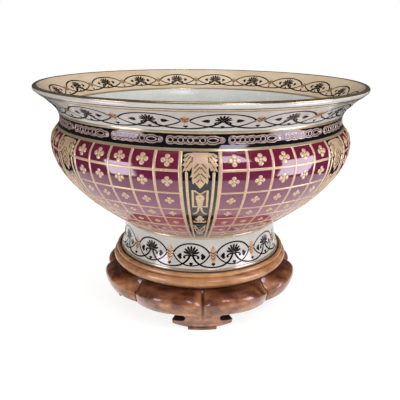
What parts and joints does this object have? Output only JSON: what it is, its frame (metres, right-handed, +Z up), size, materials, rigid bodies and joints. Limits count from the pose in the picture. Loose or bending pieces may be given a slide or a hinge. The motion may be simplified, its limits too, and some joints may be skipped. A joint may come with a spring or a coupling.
{
  "type": "footed bowl",
  "caption": "Wide porcelain bowl with a flared lip, swelling body and foot ring, resting in a turned ring on a carved wooden stand with bracket feet.",
  "frame": {"origin": "middle of the stand's footprint, on the surface that the feet stand on", "axes": "+Z up along the axis of the bowl and of the turned ring; the four feet of the stand point along +X, +Y, -X and -Y"},
  "size_m": [0.3568, 0.3568, 0.2511],
  "materials": {
    "bowl_glaze": "glossy painted glaze: burgundy grid panels with raised gold, black bands and pilasters, white bands with black scrolls",
    "foot_glaze": "glossy white glaze with black scrolls and a gold band",
    "ring_wood": "turned, stained light orange brown, satin varnish",
    "apron_wood": "carved, stained brown, glossy varnish",
    "tongue_wood": "plain, unvarnished",
    "screw_brass": "dull with age"
  },
  "bodies": {
    "stand": {"seat_ring": "ring_wood", "apron_right": "apron_wood", "apron_back": "apron_wood", "apron_left": "apron_wood", "apron_front": "apron_wood", "mitre_tongue_right_back": "tongue_wood", "mitre_tongue_back_left": "tongue_wood", "mitre_tongue_left_front": "tongue_wood", "mitre_tongue_front_right": "tongue_wood", "ring_screw_right_a": "screw_brass", "ring_screw_right_b": "screw_brass", "ring_screw_back_a": "screw_brass", "ring_screw_back_b": "screw_brass", "ring_screw_left_a": "screw_brass", "ring_screw_left_b": "screw_brass", "ring_screw_front_a": "screw_brass", "ring_screw_front_b": "screw_brass"},
    "bowl": {"bowl_body": "bowl_glaze", "bowl_foot_ring": "foot_glaze"}
  },
  "joints": [
    {"name": "bowl_lift", "type": "slide", "parent": "stand", "child": "bowl", "axis": [0, 0, 1], "range_m": [0, 0.08]}
  ]
}
